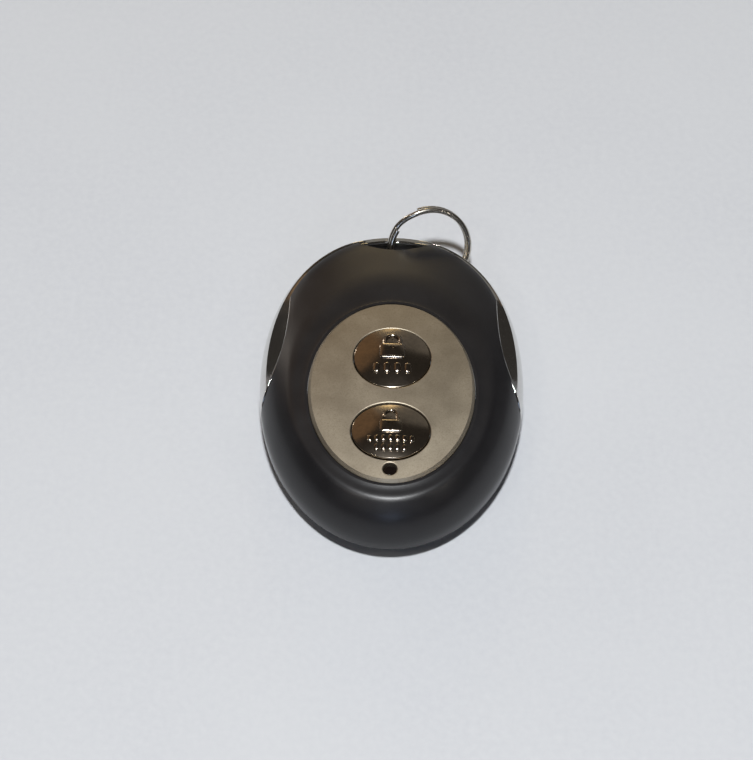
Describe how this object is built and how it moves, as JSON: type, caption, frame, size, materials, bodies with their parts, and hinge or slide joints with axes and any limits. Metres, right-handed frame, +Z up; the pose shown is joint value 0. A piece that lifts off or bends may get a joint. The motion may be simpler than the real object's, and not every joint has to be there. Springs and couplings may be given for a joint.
{
  "type": "car key fob",
  "caption": "Egg-shaped remote key fob: black shell, chrome band, oval face plate, press buttons over switches, coin cell and split key ring.",
  "frame": {"origin": "middle of the flat resting face of the rear cover", "axes": "+X to the right seen from above, +Y towards the key ring end, +Z up out of the button face"},
  "size_m": [0.0442, 0.0659, 0.0142],
  "materials": {
    "soft_touch_black": "black soft-touch moulded plastic",
    "satin_silver": "satin champagne silver metal plate",
    "dark_chrome": "black chrome plated plastic buttons",
    "bright_chrome": "bright chrome plated plastic band",
    "black_plastic": "fine-textured black plastic",
    "zinc_screw": "zinc-plated steel screws",
    "spring_steel": "nickel-plated spring steel wire",
    "clear_plastic": "smoked clear plastic light pipe",
    "board_green": "green solder mask on glass epoxy",
    "copper": "bare copper track",
    "switch_black": "black nylon housing",
    "tin_plate": "tin-plated steel",
    "snap_steel": "stainless snap dome",
    "white_plastic": "milky moulded plastic",
    "chip_epoxy": "black moulding epoxy",
    "ceramic_tan": "ceramic chip components with tinned ends",
    "cell_steel": "nickel-plated steel cell can",
    "nickel_spring": "nickel-plated phosphor bronze strip",
    "gasket_nylon": "grey nylon gasket"
  },
  "bodies": {
    "case": {"antenna_loop": "copper", "battery_can": "cell_steel", "battery_cap": "cell_steel", "battery_clip": "nickel_spring", "battery_contact": "nickel_spring", "battery_gasket": "gasket_nylon", "chip_capacitors": "ceramic_tan", "chip_resistors": "chip_epoxy", "chrome_frame": "bright_chrome", "circuit_board": "board_green", "cover_screws": "zinc_screw", "encoder_chip": "chip_epoxy", "face_plate": "satin_silver", "front_cover": "soft_touch_black", "light_pipe": "clear_plastic", "lock_switch_body": "switch_black", "lock_switch_cover": "tin_plate", "lock_switch_dome": "snap_steel", "rear_cover": "black_plastic", "rf_transistor": "chip_epoxy", "saw_resonator": "tin_plate", "status_led": "white_plastic", "unlock_switch_body": "switch_black", "unlock_switch_cover": "tin_plate", "unlock_switch_dome": "snap_steel"},
    "lock_button_body": {"lock_button": "dark_chrome"},
    "unlock_button_body": {"unlock_button": "dark_chrome"},
    "lock_plunger_body": {"lock_switch_plunger": "white_plastic"},
    "unlock_plunger_body": {"unlock_switch_plunger": "white_plastic"},
    "ring_body": {"key_ring": "spring_steel"}
  },
  "joints": [
    {"name": "lock_button_press", "type": "slide", "parent": "case", "child": "lock_button_body", "axis": [0, 0, -1], "range_m": [0, 0.00035], "stiffness_N_per_m": 1500},
    {"name": "lock_plunger_press", "type": "slide", "parent": "case", "child": "lock_plunger_body", "axis": [0, 0, -1], "range_m": [0, 0.00035], "deforming": ["lock_switch_dome"]},
    {"name": "unlock_button_press", "type": "slide", "parent": "case", "child": "unlock_button_body", "axis": [0, 0, -1], "range_m": [0, 0.00035], "stiffness_N_per_m": 1500},
    {"name": "unlock_plunger_press", "type": "slide", "parent": "case", "child": "unlock_plunger_body", "axis": [0, 0, -1], "range_m": [0, 0.00035], "deforming": ["unlock_switch_dome"]},
    {"name": "key_ring_swing", "type": "hinge", "parent": "case", "child": "ring_body", "pos_m": [0, 0.02935, 0.0085], "axis": [1, 0, 0], "range_deg": [-5, 35]}
  ],
  "couplings": [
    {"joint": "lock_plunger_press", "follows": "lock_button_press", "ratio": 1},
    {"joint": "unlock_plunger_press", "follows": "unlock_button_press", "ratio": 1}
  ]
}
